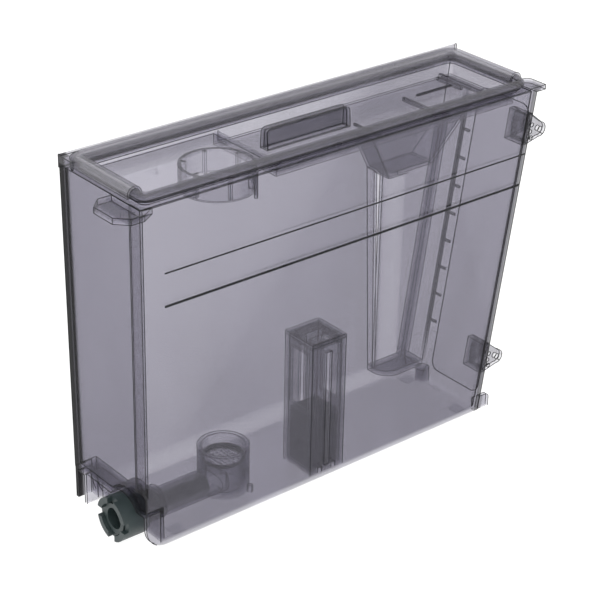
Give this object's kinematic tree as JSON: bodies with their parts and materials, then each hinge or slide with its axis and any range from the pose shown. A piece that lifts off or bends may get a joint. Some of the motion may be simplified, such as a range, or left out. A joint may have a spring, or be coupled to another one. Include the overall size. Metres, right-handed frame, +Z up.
{
  "type": "fresh water tank",
  "caption": "Slim see-through removable water tank with a recessed lift-off lid, caged level float, cartridge socket, hand hold, eared brackets and a self-closing outlet coupling.",
  "frame": {"origin": "centre of the bounding box in x and y, on the surface that the tank's feet stand on", "axes": "+X along the tank's length from the outlet end to the bracket end, +Y from the front face to the hand-hold side, +Z up"},
  "size_m": [0.319, 0.081, 0.2195],
  "materials": {
    "smoke": "polished, see-through, lightly smoked",
    "deep_smoke": "polished, see-through, smoked",
    "slate": "fine satin moulding",
    "graphite": "matt",
    "steel": "bright",
    "seal": "matt"
  },
  "bodies": {
    "tank": {"tank_body": "smoke", "corner_lug": "smoke", "upper_bracket": "deep_smoke", "lower_bracket": "deep_smoke", "float_cage": "deep_smoke", "cage_cap": "deep_smoke", "filter_socket": "deep_smoke", "socket_seal": "seal", "strainer": "steel", "intake_tube": "smoke", "tube_filter": "graphite", "coupling_body": "slate", "boss_seal": "seal", "mouth_seal": "seal", "valve_guide": "graphite", "spring_retainer": "graphite"},
    "lid": {"lid": "smoke", "lid_grip": "deep_smoke", "filter_collar": "smoke"},
    "float": {"float_block": "graphite", "float_magnet": "steel"},
    "sleeve": {"coupling_sleeve": "slate"},
    "poppet": {"valve_poppet": "slate", "valve_seal": "seal", "valve_spring": "steel"}
  },
  "joints": [
    {"name": "lid_lift", "type": "slide", "parent": "tank", "child": "lid", "axis": [0, 0, 1], "range_m": [0, 0.04]},
    {"name": "float_rise", "type": "slide", "parent": "tank", "child": "float", "axis": [0, 0, 1], "range_m": [0, 0.044]},
    {"name": "sleeve_turn", "type": "hinge", "parent": "tank", "child": "sleeve", "pos_m": [-0.14397, -0.013, 0.0139], "axis": [1, 0, 0], "range_deg": [0, 60]},
    {"name": "valve_open", "type": "slide", "parent": "tank", "child": "poppet", "axis": [1, 0, 0], "range_m": [0, 0.004], "stiffness_N_per_m": 300, "springref_m": -0.003, "deforming": ["valve_spring"]}
  ]
}
